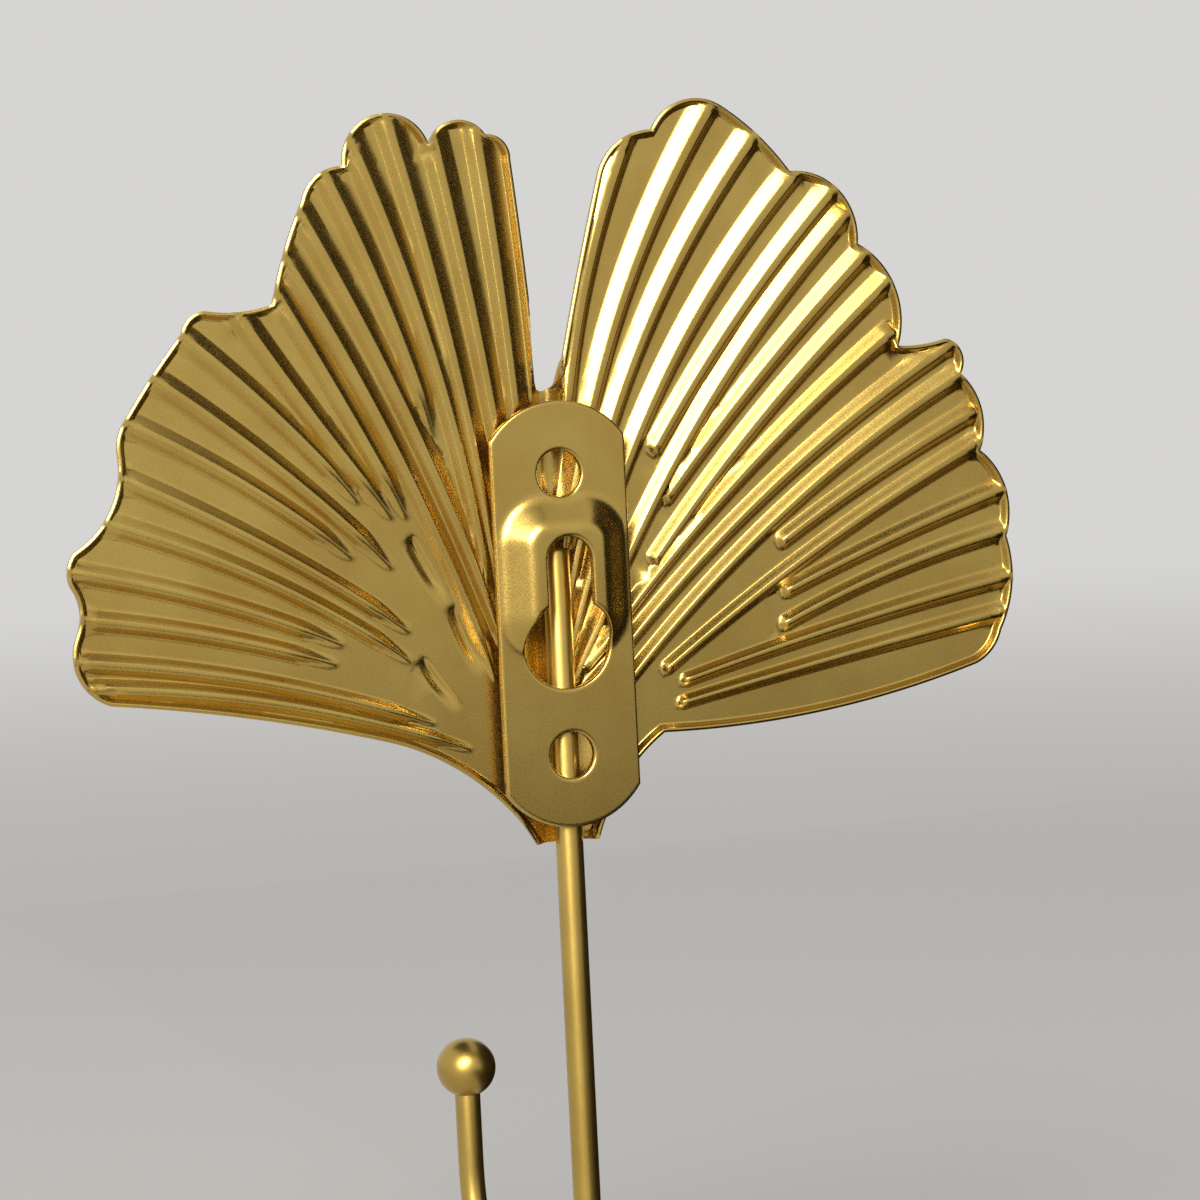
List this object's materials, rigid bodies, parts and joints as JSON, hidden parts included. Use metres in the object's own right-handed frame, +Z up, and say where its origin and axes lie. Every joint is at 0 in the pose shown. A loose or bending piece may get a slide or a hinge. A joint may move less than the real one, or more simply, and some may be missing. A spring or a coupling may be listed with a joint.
{
  "type": "wall hook",
  "caption": "Decorative wall hook: a fluted two-lobed leaf in satin gold on a bent wire hook with a ball end, hung on a screw by a keyhole plate behind the leaf.",
  "frame": {"origin": "seat of the wall screw: centre of the round top of the keyhole slot, on the wall plane", "axes": "+Z up, +Y towards the wall; the leaf's front and the hook face -Y, and +X is to the left seen from behind"},
  "size_m": [0.1082, 0.0482, 0.1444],
  "materials": {
    "satin_gold": "satin gold coating with a fine grain"
  },
  "bodies": {
    "root": {"leaf": "satin_gold", "hanger_plate": "satin_gold", "hook_wire": "satin_gold", "ball_tip": "satin_gold"}
  },
  "joints": []
}
